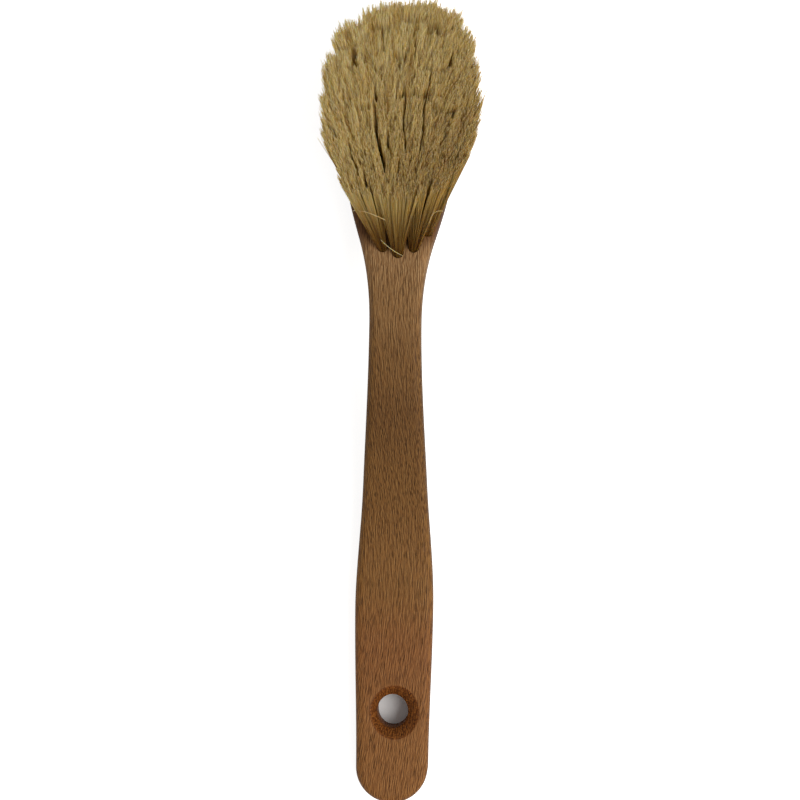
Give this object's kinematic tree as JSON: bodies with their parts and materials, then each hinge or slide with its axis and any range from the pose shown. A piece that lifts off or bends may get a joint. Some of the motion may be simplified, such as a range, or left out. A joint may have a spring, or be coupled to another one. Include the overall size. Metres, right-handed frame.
{
  "type": "boot brush",
  "caption": "Wooden boot brush with a flat handle, arched neck, oval head and fanned tufts of pale natural fibre.",
  "frame": {"origin": "middle of the flat back of the handle, 61.5 mm from the end of the tail, on the face that the handle lies on", "axes": "+Y along the handle from the tail to the bristle end, +Z out of the handle's upper face towards the bristles, +X to the right seen from above"},
  "size_m": [0.0548, 0.2767, 0.0626],
  "materials": {
    "beech": "oiled",
    "fibre": "matte natural fibre",
    "anchor_steel": "bare flat wire"
  },
  "bodies": {
    "root": {"beech_block": "beech", "tuft_01": "fibre", "tuft_02": "fibre", "tuft_03": "fibre", "tuft_04": "fibre", "tuft_05": "fibre", "tuft_06": "fibre", "tuft_07": "fibre", "tuft_08": "fibre", "tuft_09": "fibre", "tuft_10": "fibre", "tuft_11": "fibre", "tuft_12": "fibre", "tuft_13": "fibre", "tuft_14": "fibre", "tuft_15": "fibre", "tuft_16": "fibre", "tuft_17": "fibre", "tuft_18": "fibre", "tuft_19": "fibre", "tuft_20": "fibre", "tuft_21": "fibre", "tuft_22": "fibre", "tuft_23": "fibre", "tuft_24": "fibre", "tuft_25": "fibre", "tuft_26": "fibre", "tuft_27": "fibre", "tuft_28": "fibre", "tuft_29": "fibre", "anchor_01": "anchor_steel", "anchor_02": "anchor_steel", "anchor_03": "anchor_steel", "anchor_04": "anchor_steel", "anchor_05": "anchor_steel", "anchor_06": "anchor_steel", "anchor_07": "anchor_steel", "anchor_08": "anchor_steel", "anchor_09": "anchor_steel", "anchor_10": "anchor_steel", "anchor_11": "anchor_steel", "anchor_12": "anchor_steel", "anchor_13": "anchor_steel", "anchor_14": "anchor_steel", "anchor_15": "anchor_steel", "anchor_16": "anchor_steel", "anchor_17": "anchor_steel", "anchor_18": "anchor_steel", "anchor_19": "anchor_steel", "anchor_20": "anchor_steel", "anchor_21": "anchor_steel", "anchor_22": "anchor_steel", "anchor_23": "anchor_steel", "anchor_24": "anchor_steel", "anchor_25": "anchor_steel", "anchor_26": "anchor_steel", "anchor_27": "anchor_steel", "anchor_28": "anchor_steel", "anchor_29": "anchor_steel"}
  },
  "joints": []
}
